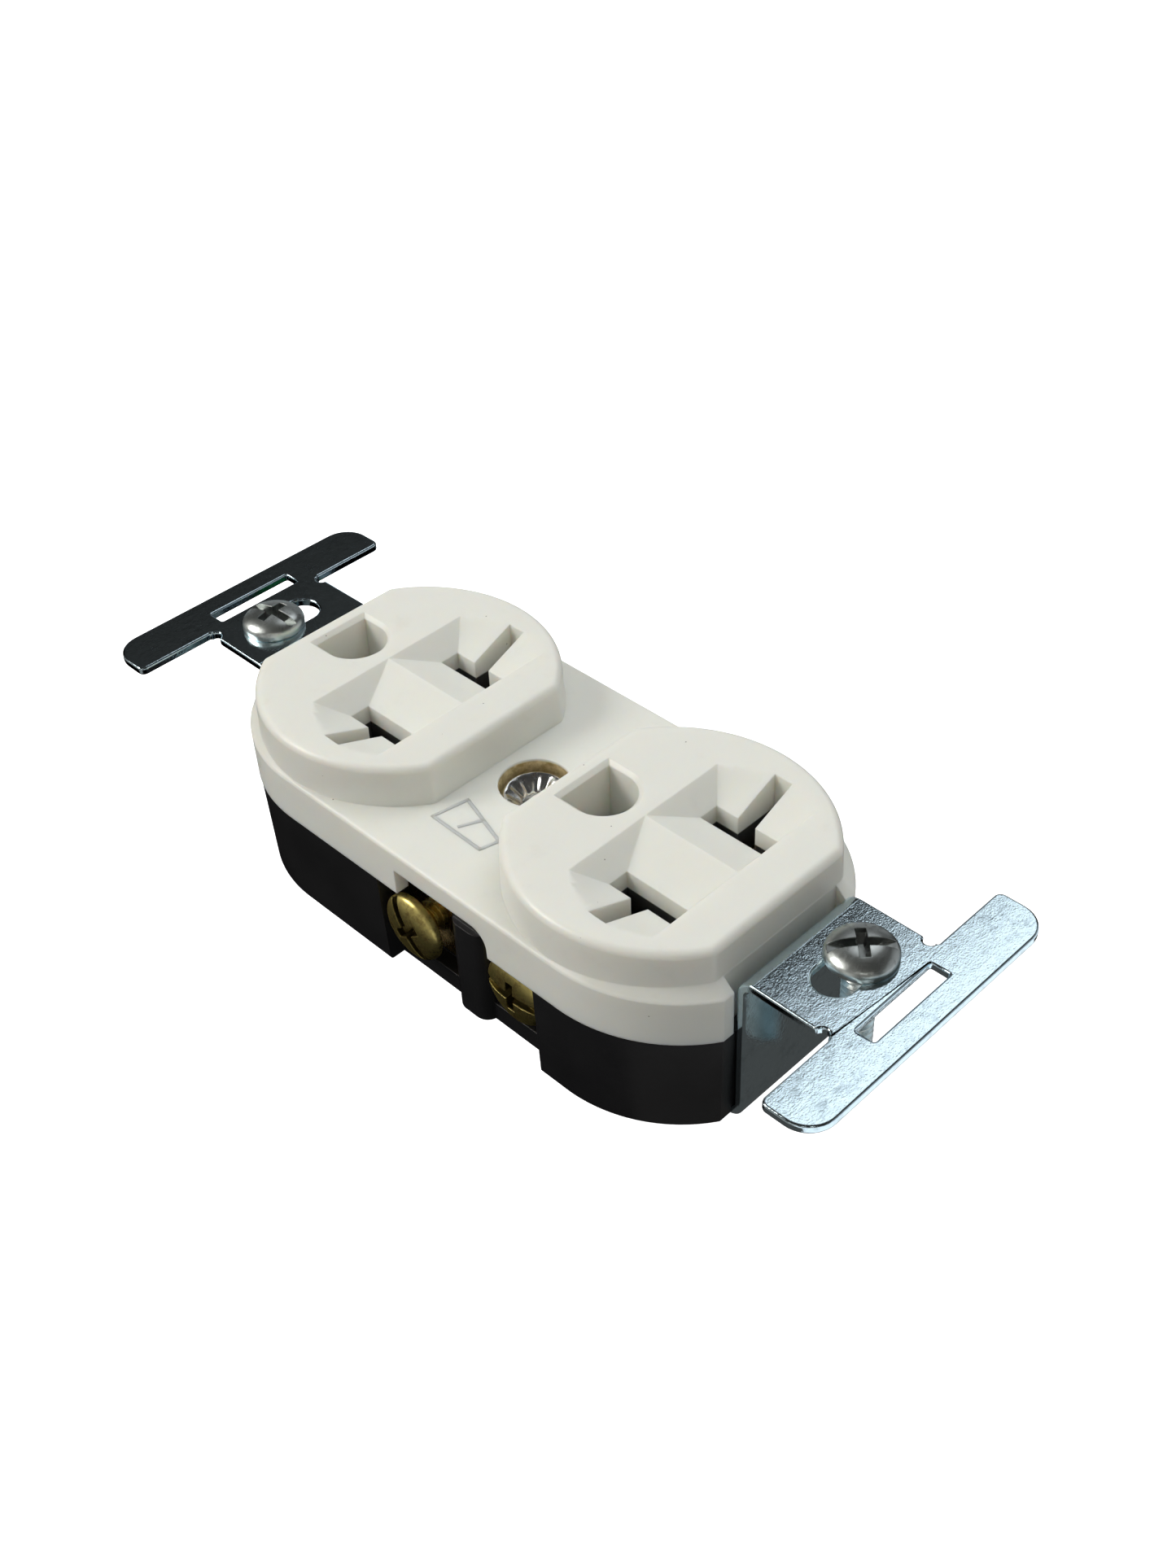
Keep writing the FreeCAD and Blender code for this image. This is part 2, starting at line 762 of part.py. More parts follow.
def all_pieces():
    pieces = {
        "face_cover": face_cover(),
        "base_housing": base_housing(),
        "mounting_strap": mounting_strap(),
        "center_rivet": center_rivet(),
        "mounting_screw_upper": mounting_screw(1),
        "mounting_screw_lower": mounting_screw(-1),
        "ground_screw": ground_screw(),
        "side_plate_right": side_plate(),
        "side_plate_left": other_side(side_plate()),
    }
    for index, place in enumerate(("lower", "upper")):
        centre_y = face_centres()[index]
        pieces["terminal_screw_right_" + place] = terminal_screw(index)
        pieces["terminal_screw_left_" + place] = other_side(terminal_screw(index))
        pieces["blade_contact_right_" + place] = blade_contact(centre_y)
        pieces["blade_contact_left_" + place] = other_side(blade_contact(centre_y))
        pieces["ground_clip_" + place] = ground_clip(centre_y)
        pieces["ground_rivet_" + place] = ground_rivet(centre_y)
    return pieces


def main():
    os.makedirs("parts", exist_ok=True)
    for name, shape in all_pieces().items():
        if not shape.isValid() or len(shape.Solids) != 1:
            raise RuntimeError(name + " is not one valid solid")
        shape.exportStep("parts/" + name + ".step")
        print(name, round(shape.Volume, 1))


main()
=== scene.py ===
import math

import bmesh
import bpy
from bpy.props import FloatProperty, FloatVectorProperty, IntProperty, PointerProperty
from mathutils import Matrix, Vector


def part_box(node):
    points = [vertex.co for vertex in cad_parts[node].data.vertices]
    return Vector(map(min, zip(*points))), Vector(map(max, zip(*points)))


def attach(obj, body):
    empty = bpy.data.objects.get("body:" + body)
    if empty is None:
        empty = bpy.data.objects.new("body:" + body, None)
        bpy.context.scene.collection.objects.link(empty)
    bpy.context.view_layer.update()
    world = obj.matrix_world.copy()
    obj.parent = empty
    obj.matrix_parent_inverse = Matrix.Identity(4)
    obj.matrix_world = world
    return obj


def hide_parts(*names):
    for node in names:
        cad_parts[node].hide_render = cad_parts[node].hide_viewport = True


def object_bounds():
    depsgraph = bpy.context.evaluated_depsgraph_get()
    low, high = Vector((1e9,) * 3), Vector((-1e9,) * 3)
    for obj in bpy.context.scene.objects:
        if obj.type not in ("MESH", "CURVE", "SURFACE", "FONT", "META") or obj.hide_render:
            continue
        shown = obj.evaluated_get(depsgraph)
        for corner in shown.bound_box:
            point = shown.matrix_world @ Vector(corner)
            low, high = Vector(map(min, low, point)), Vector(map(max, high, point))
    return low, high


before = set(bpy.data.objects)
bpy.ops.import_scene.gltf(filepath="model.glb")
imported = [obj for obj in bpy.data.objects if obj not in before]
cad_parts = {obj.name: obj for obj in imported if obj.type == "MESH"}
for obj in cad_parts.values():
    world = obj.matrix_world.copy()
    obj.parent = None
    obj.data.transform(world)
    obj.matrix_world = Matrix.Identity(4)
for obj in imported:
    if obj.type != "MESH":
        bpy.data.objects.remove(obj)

bl_info = {
    "name": "Duplex wall outlet",
    "version": (1, 0, 0),
    "blender": (4, 5, 0),
    "location": "3D View > Sidebar > Outlet",
    "description": "Builds a duplex wall outlet around its working model",
    "category": "Object",
}

CAD_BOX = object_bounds()
MM = 0.001
MERGE = 1e-6
BODY = "outlet_body"
UP = Vector((0, 0, 1))
SMALL_ROUND = 0.12 * MM

COVER_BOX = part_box("face_cover")
RIVET_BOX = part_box("center_rivet")
FACE_Z = COVER_BOX[1].z
DECK_DROP = 5.0 * MM
DECK_Z = FACE_Z - DECK_DROP

# blade slots: middle and half size from a face's centre, and where their wall ends; the walls below
# that height are painted black as shade
FACE_CENTRES = (-19.45 * MM, 19.45 * MM)
SLOT_PLACE = (9.35 * MM, 3.15 * MM)
SLOT_HALF = (4.15 * MM, 4.15 * MM)
SLOT_WALL_Z = FACE_Z - 4.3 * MM


# ---------------------------------------------------------------- shader maths

class Number:
    """One number socket of a finish; sums on it become Math nodes."""

    def __init__(self, finish, socket):
        self.finish = finish
        self.socket = socket

    def _sum(self, operation, first, second):
        return self.finish.math(operation, first, second)

    def __add__(self, other):
        return self._sum("ADD", self, other)

    __radd__ = __add__

    def __sub__(self, other):
        return self._sum("SUBTRACT", self, other)

    def __rsub__(self, other):
        return self._sum("SUBTRACT", other, self)

    def __mul__(self, other):
        return self._sum("MULTIPLY", self, other)

    __rmul__ = __mul__

    def __lt__(self, other):
        return self._sum("LESS_THAN", self, other)

    def __gt__(self, other):
        return self._sum("GREATER_THAN", self, other)


class Finish:
    """A material being made: its nodes, its links and its Principled shader."""

    def __init__(self, name, **constants):
        self.material = bpy.data.materials.new(name)
        self.material.use_nodes = True
        self.tree = self.material.node_tree
        self.shader = self.tree.nodes["Principled BSDF"]
        self.place = self.node("ShaderNodeTexCoord").outputs["Object"]
        for socket, value in constants.items():
            self.feed(self.shader.inputs[socket.replace("_", " ")], value)

    def feed(self, socket, value):
        """Link a socket or number to an input, or set the input to a constant."""
        value = getattr(value, "socket", value)
        if isinstance(value, bpy.types.NodeSocket):
            self.tree.links.new(value, socket)
        else:
            socket.default_value = value

    def node(self, kind, settings=None, sockets=None):
        made = self.tree.nodes.new(kind)
        for key, value in (settings or {}).items():
            setattr(made, key, value)
        for key, value in (sockets or {}).items():
            self.feed(made.inputs[key], value)
        return made

    def number(self, socket):
        return Number(self, socket)

    def math(self, operation, first, second=0.0):
        made = self.node("ShaderNodeMath", {"operation": operation}, {0: first, 1: second})
        return self.number(made.outputs[0])

    def rise(self, value, low, high):
        """0 below low, 1 above high, smooth between."""
        made = self.node("ShaderNodeMapRange", {"interpolation_type": "SMOOTHSTEP"},
                         {"Value": value, "From Min": low, "From Max": high})
        return self.number(made.outputs["Result"])

    def noise(self, size, detail=2.0, roughness=0.5, vector=None):
        """Noise whose blobs are about size across."""
        made = self.node("ShaderNodeTexNoise", None, {
            "Vector": vector or self.place, "Scale": 1 / size, "Detail": detail,
            "Roughness": roughness})
        return self.number(made.outputs["Fac"])

    def cells(self, size, output="Distance"):
        """Distance to, or colour of, the nearest of scattered points about size apart."""
        made = self.node("ShaderNodeTexVoronoi", None, {"Vector": self.place, "Scale": 1 / size})
        return made.outputs[output]

    def axes(self, socket=None):
        made = self.node("ShaderNodeSeparateXYZ", None, {0: socket or self.place})
        return [self.number(made.outputs[axis]) for axis in "XYZ"]

    def stretched(self, factors):
        """Coordinates scaled along each axis; a small factor draws noise out along it."""
        made = self.node("ShaderNodeVectorMath", {"operation": "MULTIPLY"},
                         {0: self.place, 1: factors})
        return made.outputs[0]

    def blend(self, factor, first, second):
        """Colour mixed from first to second; 6 and 7 are the Mix node's colour inputs."""
        made = self.node("ShaderNodeMix", {"data_type": "RGBA"}, {0: factor, 6: first, 7: second})
        return made.outputs[2]

    def recess(self):
        """1 inside a driver recess, 0 at its rim and outside it; the screw finishes paint shade into
        the recess with it.
        """
        made = self.node("ShaderNodeAttribute", {"attribute_name": "recess"})
        return self.rise(self.number(made.outputs["Fac"]), 0.03, 0.30)

    def specks(self, size, radius, share):
        """Sparse round specks: one in a share of the cells of that size."""
        near = self.number(self.cells(size)) < radius / size
        pick = self.axes(self.cells(size, "Color"))[0] < share
        return near * pick

    def finish(self, color, roughness, relief=None, relief_height=0.0, edge=0.0):
        """Link colour and roughness, round small edges and add relief."""
        self.feed(self.shader.inputs["Base Color"], color)
        self.feed(self.shader.inputs["Roughness"], roughness)
        normal = None
        if edge:
            normal = self.node("ShaderNodeBevel", {"samples": 6}, {"Radius": edge}).outputs[0]
        if relief is not None:
            bump = {"Height": relief, "Distance": relief_height, "Strength": 1.0}
            if normal is not None:
                bump["Normal"] = normal
            normal = self.node("ShaderNodeBump", None, bump).outputs[0]
        if normal is not None:
            self.feed(self.shader.inputs["Normal"], normal)
        return self.material


def rgba(color, shade=1.0):
    return tuple(channel * shade for channel in color[:3]) + (1.0,)


# ------------------------------------------------------------------- finishes

def white_plastic(colors):
    """Warm white moulding: clouding, dark specks, a rust ring at the rivet, and painted shade: the
    deep slot walls are painted black.
    """
    made = Finish("warm_white_plastic", Subsurface_Weight=0.45,
                  Subsurface_Radius=(2.6 * MM, 2.0 * MM, 1.4 * MM), Subsurface_Scale=1.0,
                  IOR=1.47)
    x, y, z = made.axes()
    cloud = made.noise(9 * MM, 3)
    fine = made.noise(0.45 * MM, 3)
    grime = made.rise(made.noise(3.2 * MM, 5, 0.65), 0.55, 0.8)
    body = made.blend(cloud, rgba(colors.cover), rgba(colors.cover, 0.955))
    body = made.blend(grime * 0.10, body, rgba(colors.grime))
    specks = made.specks(1.6 * MM, 0.085 * MM, 0.16)
    body = made.blend(specks * 0.75, body, rgba(colors.speck))
    radius = made.math("SQRT", x * x + y * y)
    ring = made.rise(radius, 4.25 * MM, 3.95 * MM) * made.rise(radius, 3.5 * MM, 3.7 * MM)
    depth = made.rise(z, DECK_Z - 0.12 * MM, DECK_Z - 0.42 * MM)
    blotch = made.rise(made.noise(0.9 * MM, 4, 0.6), 0.22, 0.62)
    stain = made.blend(blotch, rgba(colors.stain), rgba(colors.stain, 0.55))
    body = made.blend(ring * depth * (0.75 + 0.25 * blotch), body, stain)
    # painted shade: slot walls deeper than SLOT_WALL_Z are painted the base's black
    aside = made.math("ABSOLUTE", made.math("ABSOLUTE", x) - SLOT_PLACE[0]) < SLOT_HALF[0]
    along = [made.math("ABSOLUTE", y - SLOT_PLACE[1] - centre) < SLOT_HALF[1]
             for centre in FACE_CENTRES]
    painted_slot_shade = aside * (along[0] + along[1]) * made.rise(z, SLOT_WALL_Z, SLOT_WALL_Z - 0.25 * MM)
    body = made.blend(painted_slot_shade * 0.96, body, rgba(colors.housing))
    rough = 0.26 + 0.10 * cloud + 0.10 * fine
    relief = made.noise(0.9 * MM, 2) * 0.5 + fine * 0.3 + cloud * 1.2
    return made.finish(body, rough, relief, 0.012 * MM, 0.22 * MM)


def black_plastic(colors):
    """Black phenolic: satin skin, flow clouding, pale dust and fine rub marks."""
    made = Finish("satin_black_plastic", IOR=1.5)
    cloud = made.noise(6 * MM, 3)
    fine = made.noise(0.35 * MM, 3)
    dust = made.rise(made.noise(0.5 * MM, 6, 0.7), 0.62, 0.82)
    rubs = made.rise(made.noise(0.3 * MM, 3, 0.6, made.stretched((1.0, 0.06, 1.0))), 0.66, 0.78)
    body = made.blend(cloud, rgba(colors.housing), rgba(colors.housing, 1.7))
    body = made.blend(dust * 0.06 + rubs * 0.03, body, rgba(colors.dust))
    rough = 0.27 + 0.14 * cloud + 0.16 * dust
    relief = cloud * 1.4 + fine * 0.45
    return made.finish(body, rough, relief, 0.012 * MM, 0.15 * MM)


def zinc_plate(colors):
    """Bright zinc on rolled strip: spangled mottling and rolling lines."""
    made = Finish("zinc_plated_strip", Metallic=1.0)
    wide = made.noise(6.5 * MM, 3)
    mottle = made.noise(0.75 * MM, 4, 0.62)
    sparkle = made.noise(0.20 * MM, 2, 0.6)
    lines = made.noise(0.16 * MM, 2, 0.5, made.stretched((0.05, 1.0, 1.0)))
    dull = made.rise(made.noise(1.6 * MM, 5, 0.7), 0.50, 0.72)
    body = made.blend(mottle, rgba(colors.zinc, 0.90), rgba(colors.zinc, 1.06))
    body = made.blend(dull * 0.45, body, rgba(colors.zinc_dull))
    rough = 0.05 + 0.08 * mottle + 0.09 * dull
    relief = mottle * 0.6 + sparkle * 0.45 + lines * 0.12 + wide * 1.2
    return made.finish(body, rough, relief, 0.020 * MM, 0.12 * MM)


def screw_zinc(colors):
    """Zinc-plated screw: softer sheen than the strap, with painted shade darkening the driver recess.
    """
    made = Finish("zinc_plated_screw", Metallic=1.0)
    mottle = made.noise(0.45 * MM, 4, 0.6)
    dull = made.rise(made.noise(1.1 * MM, 5, 0.65), 0.48, 0.72)
    body = made.blend(dull, rgba(colors.screw_zinc), rgba(colors.screw_zinc, 0.6))
    # painted shade: the driver recess is darkened towards its floor
    body = made.blend(made.recess() * 0.70, body, rgba(colors.screw_zinc, 0.18))
    rough = 0.27 + 0.10 * mottle + 0.10 * dull
    return made.finish(body, rough, mottle, 0.010 * MM, 0.10 * MM)


def plated_brass(name, color, tarnish_and_shade, roughness):
    """Yellow brass with tarnished patches, bright rubbed spots and painted shade in driver recesses.
    """
    made = Finish(name, Metallic=1.0)
    patches = made.rise(made.noise(1.3 * MM, 5, 0.65), 0.42, 0.72)
    rubbed = made.rise(made.noise(0.5 * MM, 4, 0.6), 0.62, 0.78)
    grain = made.noise(0.25 * MM, 3)
    body = made.blend(patches, rgba(color), rgba(tarnish_and_shade))
    body = made.blend(rubbed * 0.45, body, rgba(color, 1.4))
    # painted shade: the driver recess is darkened towards its floor, in a dark tarnish colour
    body = made.blend(made.recess() * 0.88, body, rgba(tarnish_and_shade, 0.12))
    rough = roughness + 0.10 * patches + 0.06 * grain
    relief = grain * 0.6 + patches * 0.5
    return made.finish(body, rough, relief, 0.012 * MM, 0.08 * MM)


def green_screw_finish(colors):
    """Green dyed plating, rubbed thin in places, with painted shade in the driver recess."""
    made = Finish("green_plating", Metallic=0.85)
    rubbed = made.rise(made.noise(0.8 * MM, 5, 0.65), 0.6, 0.8)
    grain = made.noise(0.3 * MM, 3)
    body = made.blend(grain, rgba(colors.green), rgba(colors.green, 1.5))
    body = made.blend(rubbed * 0.35, body, rgba(colors.screw_zinc))
    # painted shade: the driver recess is darkened towards its floor
    body = made.blend(made.recess() * 0.80, body, rgba(colors.green, 0.15))
    return made.finish(body, 0.26 + 0.14 * grain, grain, 0.010 * MM, 0.10 * MM)


def rivet_finish(colors):
    """Bright rolled rivet metal."""
    made = Finish("bright_rivet", Metallic=1.0)
    grain = made.noise(0.3 * MM, 3)
    dull = made.rise(made.noise(0.9 * MM, 4, 0.6), 0.5, 0.8)
    body = made.blend(dull, rgba(colors.rivet), rgba(colors.rivet, 0.72))
    return made.finish(body, 0.20 + 0.12 * dull + 0.05 * grain, grain, 0.006 * MM, 0.05 * MM)


def floor_finish(colors):
    """Plain pale sweep."""
    made = Finish("pale_floor", Emission_Strength=1.3)
    grain = made.noise(40 * MM, 2)
    paint = made.blend(grain, rgba(colors.floor), rgba(colors.floor, 0.99))
    made.feed(made.shader.inputs["Emission Color"], paint)
    return made.finish(paint, 0.6 + 0.05 * grain)


FINISHES = {}


def finish(key):
    """The finish of that name, made once."""
    if key not in FINISHES:
        colors = bpy.context.scene.outlet_colors
        makers = {
            "white": lambda: white_plastic(colors),
            "black": lambda: black_plastic(colors),
            "zinc": lambda: zinc_plate(colors),
            "screw": lambda: screw_zinc(colors),
            "terminal": lambda: plated_brass("terminal_brass", colors.terminal,
                                             colors.terminal_dark, 0.34),
            "brass": lambda: plated_brass("contact_brass", colors.brass, colors.brass_dark, 0.22),
            "green": lambda: green_screw_finish(colors),
            "rivet": lambda: rivet_finish(colors),
            "floor": lambda: floor_finish(colors),
        }
        FINISHES[key] = makers[key]()
    return FINISHES[key]


# ------------------------------------------------------------------ mesh tools

def keep_piece(name, mesh, key, body, nodes=()):
    """Link a finished mesh as a piece that rides on its body."""
    mesh.materials.clear()
    mesh.materials.append(finish(key))
    piece = bpy.data.objects.new(name, mesh)
    bpy.context.scene.collection.objects.link(piece)
    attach(piece, body)
    if nodes:
        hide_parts(*nodes)
    return piece


def to_mesh(bm, name, crease=math.radians(32)):
    """Smooth the faces, keep edges sharper than the crease, and store the mesh."""
    for face in bm.faces:
        face.smooth = True
    for edge in bm.edges:
        edge.smooth = edge.calc_face_angle(math.pi) < crease
    mesh = bpy.data.meshes.new(name)
    bm.to_mesh(mesh)
    bm.free()
    return mesh


def merged_copy(node):
    """The working model's node as one closed mesh of flat faces."""
    bm = bmesh.new()
    bm.from_mesh(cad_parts[node].data)
    bmesh.ops.remove_doubles(bm, verts=bm.verts, dist=MERGE)
    bmesh.ops.dissolve_limit(bm, angle_limit=math.radians(0.4), verts=bm.verts, edges=bm.edges)
    bmesh.ops.recalc_face_normals(bm, faces=bm.faces)
    return bm


def spun(outline, steps, closed=False):
    """Turn an outline of (radius, height) points once round the Z axis."""
    bm = bmesh.new()
    verts = [bm.verts.new((radius, 0, height)) for radius, height in outline]
    edges = [bm.edges.new(pair) for pair in zip(verts, verts[1:])]
    if closed:
        edges.append(bm.edges.new((verts[-1], verts[0])))
    bmesh.ops.spin(bm, geom=verts + edges, cent=(0, 0, 0), axis=UP, angle=math.tau,
                   steps=steps, use_merge=True)
    bmesh.ops.remove_doubles(bm, verts=bm.verts, dist=MERGE)
    bmesh.ops.recalc_face_normals(bm, faces=bm.faces)
    return bm


def score(bm, place, normal):
    """Cut an edge loop where a plane crosses the mesh."""
    geometry = bm.verts[:] + bm.edges[:] + bm.faces[:]
    bmesh.ops.bisect_plane(bm, geom=geometry, dist=1e-8, plane_co=place, plane_no=normal)


def sink(bm, picked, floor_z, taper=1.0):
    """Push the upward faces that picked() accepts down to floor_z, marked as recess."""
    recess = bm.verts.layers.float["recess"]
    bm.normal_update()
    faces = [f for f in bm.faces if f.normal.z > 0.05 and picked(f.calc_center_median())]
    made = bmesh.ops.extrude_face_region(bm, geom=faces)
    bmesh.ops.delete(bm, geom=faces, context="FACES")
    for vert in [item for item in made["geom"] if isinstance(item, bmesh.types.BMVert)]:
        vert.co = Vector((vert.co.x * taper, vert.co.y * taper, floor_z))
        vert[recess] = 1.0
    bmesh.ops.remove_doubles(bm, verts=bm.verts, dist=MERGE)


# ---------------------------------------------------------------------- screws

DOME_FULLNESS = 0.86
CROSS_TAPER = 0.52
POINT_LENGTH = 0.7 * MM
POINT_TAPER = 0.66
THREAD_LAP = 0.2 * MM
# one pitch of thread: how far out (0 root, 1 crest), and how far along the pitch
THREAD_PROFILE = ((0, 0.0), (0, 0.12), (1, 0.47), (1, 0.60), (0, 0.95), (0, 1.0))


def screw_head(radius, height, rim, sizes):
    """Domed head with a straight slot right across and a cross recess in it."""
    outline = [(0, 0), (radius - SMALL_ROUND, 0), (radius, SMALL_ROUND), (radius, rim)]
    rise = height - rim
    for step in range(1, sizes.dome_rings + 1):
        turn = step / sizes.dome_rings * math.pi / 2
        outline.append((radius * math.cos(turn) ** DOME_FULLNESS, rim + rise * math.sin(turn)))
    bm = spun(outline, sizes.head_steps)
    bm.verts.layers.float.new("recess")
    slot_half = sizes.slot_width / 2
    cross_half = sizes.cross_half
    slot_floor = height - sizes.slot_depth
    for side in (-1, 1):
        score(bm, (0, side * slot_half, 0), (0, 1, 0))
        score(bm, (side * slot_half, 0, 0), (1, 0, 0))
        score(bm, (0, side * cross_half, 0), (0, 1, 0))
        score(bm, (side * cross_half, 0, 0), (1, 0, 0))
    score(bm, (0, 0, slot_floor), UP)

    def in_arm(c):
        return abs(c.x) < slot_half and abs(c.y) < cross_half

    def in_slot(c):
        return (abs(c.y) < slot_half or in_arm(c)) and c.z > slot_floor

    def in_cross(c):
        inside = in_arm(c) or (abs(c.y) < slot_half and abs(c.x) < cross_half)
        return inside and c.z > slot_floor - MERGE

    sink(bm, in_slot, slot_floor)
    sink(bm, in_cross, height - sizes.cross_depth, CROSS_TAPER)
    return bm


def add_thread(bm, top_z, bottom_z, sizes):
    """Right-handed thread between two heights, closed with a chamfered point."""
    per_turn = sizes.thread_steps
    turns = math.ceil((top_z - bottom_z) / sizes.pitch) + 2
    start_z = bottom_z - sizes.pitch
    crest = sizes.thread_radius
    root = crest - sizes.thread_depth
    shank = bmesh.new()
    verts = [shank.verts.new((crest if out else root, 0, start_z + share * sizes.pitch))
             for out, share in THREAD_PROFILE]
    edges = [shank.edges.new(pair) for pair in zip(verts, verts[1:])]
    bmesh.ops.spin(shank, geom=verts + edges, cent=(0, 0, 0), axis=UP, angle=math.tau * turns,
                   dvec=(0, 0, sizes.pitch / per_turn), steps=per_turn * turns)
    bmesh.ops.remove_doubles(shank, verts=shank.verts, dist=MERGE)
    point_z = bottom_z + POINT_LENGTH
    for height, side in ((top_z, 1), (point_z, -1)):
        bmesh.ops.bisect_plane(shank, geom=shank.verts[:] + shank.edges[:] + shank.faces[:],
                               dist=1e-8, plane_co=(0, 0, height), plane_no=(0, 0, side),
                               clear_outer=True)
    rims = [e for e in shank.edges if e.is_boundary]
    lower = [e for e in rims if all(abs(v.co.z - point_z) < MERGE for v in e.verts)]
    point = bmesh.ops.extrude_edge_only(shank, edges=lower)["geom"]
    for vert in [item for item in point if isinstance(item, bmesh.types.BMVert)]:
        reach = math.hypot(vert.co.x, vert.co.y)
        shrink = POINT_TAPER * root / reach
        vert.co = Vector((vert.co.x * shrink, vert.co.y * shrink, bottom_z))
    bmesh.ops.edgeloop_fill(shank, edges=[e for e in shank.edges if e.is_boundary])
    bmesh.ops.recalc_face_normals(shank, faces=shank.faces)
    mesh = bpy.data.meshes.new("shank")
    shank.to_mesh(mesh)
    shank.free()
    bm.from_mesh(mesh)
    bpy.data.meshes.remove(mesh)


def screw_piece(node, outward, turn, head_height, rim, key):
    """A threaded screw standing for the node: outward points from shank to head."""
    sizes = bpy.context.scene.outlet_screws
    low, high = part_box(node)
    middle = (low + high) / 2
    along = max(range(3), key=lambda axis: abs(outward[axis]))
    length = high[along] - low[along]
    across = (along + 1) % 3
    radius = (high[across] - low[across]) / 2
    bm = screw_head(radius, head_height, rim, sizes)
    add_thread(bm, THREAD_LAP, head_height - length, sizes)
    head_top = Vector(middle)
    head_top[along] = high[along] if outward[along] > 0 else low[along]
    seat = head_top - Vector(outward) * head_height
    aim = UP.rotation_difference(Vector(outward)).to_matrix().to_4x4()
    bm.transform(Matrix.Translation(seat) @ aim @ Matrix.Rotation(turn, 4, "Z"))
    return keep_piece(node + "_body", to_mesh(bm, node), key, node, [node])


# ------------------------------------------------------------------ properties

def length(name, description, default):
    return FloatProperty(name=name, description=description, default=default,
                         unit="LENGTH", subtype="DISTANCE", precision=5)


def angle(name, description, degrees):
    return FloatProperty(name=name, description=description, default=math.radians(degrees),
                         unit="ROTATION", subtype="ANGLE")


def color(name, description, default):
    return FloatVectorProperty(name=name, description=description, default=default,
                               subtype="COLOR", size=3, min=0, max=1)


class OutletColors(bpy.types.PropertyGroup):
    """Colours of the outlet's finishes."""

    cover: color("Cover", "White plastic of the face cover", (0.795, 0.803, 0.748))
    grime: color("Grime", "Handling marks on the white plastic", (0.48, 0.44, 0.37))
    speck: color("Specks", "Dark specks in the white plastic", (0.12, 0.11, 0.10))
    stain: color("Stain", "Rust stain around the rivet", (0.74, 0.58, 0.27))
    housing: color("Housing", "Black plastic of the base", (0.010, 0.010, 0.011))
    dust: color("Dust", "Dust on the black plastic", (0.22, 0.21, 0.20))
    zinc: color("Zinc", "Plating of the strap", (0.63, 0.77, 0.84))
    zinc_dull: color("Dull zinc", "Dull patches in the strap's plating", (0.34, 0.43, 0.47))
    screw_zinc: color("Screw zinc", "Plating of the mounting screws", (0.74, 0.79, 0.77))
    terminal: color("Terminal brass", "Terminal screws", (0.80, 0.68, 0.24))
    terminal_dark: color("Tarnish", "Tarnish on the terminal screws", (0.30, 0.21, 0.07))
    brass: color("Brass", "Contacts and side plates", (0.72, 0.52, 0.20))
    brass_dark: color("Dull brass", "Tarnish on the brass", (0.38, 0.24, 0.09))
    green: color("Green", "Ground screw", (0.02, 0.20, 0.07))
    rivet: color("Rivet", "Centre rivet", (0.94, 0.95, 0.96))
    floor: color("Floor", "Floor under the outlet", (0.86, 0.86, 0.86))


class OutletEdges(bpy.types.PropertyGroup):
    """Rounding that the press leaves on the strap's edges."""

    strap: length("Strap edges", "Die roll along the strap's edges", 0.22 * MM)


class OutletScrews(bpy.types.PropertyGroup):
    """Sizes shared by all the screws."""

    pitch: length("Pitch", "Distance between thread crests", 0.794 * MM)
    thread_radius: length("Thread radius", "Radius over the crests", 1.75 * MM)
    thread_depth: length("Thread depth", "Crest to root", 0.42 * MM)
    slot_width: length("Slot width", "Width of the driver slot", 1.1 * MM)
    slot_depth: length("Slot depth", "Depth of the driver slot", 0.85 * MM)
    cross_half: length("Cross reach", "Half length of the cross recess", 1.9 * MM)
    cross_depth: length("Cross depth", "Depth of the cross recess", 1.45 * MM)
    thread_steps: IntProperty(name="Thread steps", description="Faces round one turn of thread",
                              default=28, min=12)
    head_steps: IntProperty(name="Head steps", description="Faces round a head", default=64, min=24)
    dome_rings: IntProperty(name="Dome rings", description="Rings of faces on a dome",
                            default=12, min=4)


class OutletStage(bpy.types.PropertyGroup):
    """Camera and light."""

    azimuth: angle("Azimuth", "Camera's turn around the outlet", 136.58)
    elevation: angle("Elevation", "Camera's height over the faces", 40.355)
    roll: angle("Roll", "Camera's turn about its own axis", -2.838)
    distance: length("Distance", "Camera's distance from the faces' middle", 187.348 * MM)
    aim_right: length("Aim right", "Camera's sideways shift", 5.794 * MM)
    aim_up: length("Aim up", "Camera's upward shift", -3.948 * MM)
    lens: FloatProperty(name="Lens", description="Focal length over a 36 mm tall sensor",
                        default=41.67, unit="CAMERA")
    sky: FloatProperty(name="Sky", description="Strength of the even light all round",
                       default=0.33, min=0)


# ------------------------------------------------------------------- operators

# plain raised frame on the deck, in millimetres, its one dividing line, and the
# width and height of the ridge that draws them
FRAME_CORNERS = ((10.77, -3.94), (10.97, 3.38), (8.80, 3.95), (6.60, -3.16), (10.77, -3.94))
FRAME_DIVIDER = ((10.05, -0.73), (7.72, 0.38))
FRAME_RIDGE = (0.42 * MM, 0.08 * MM)


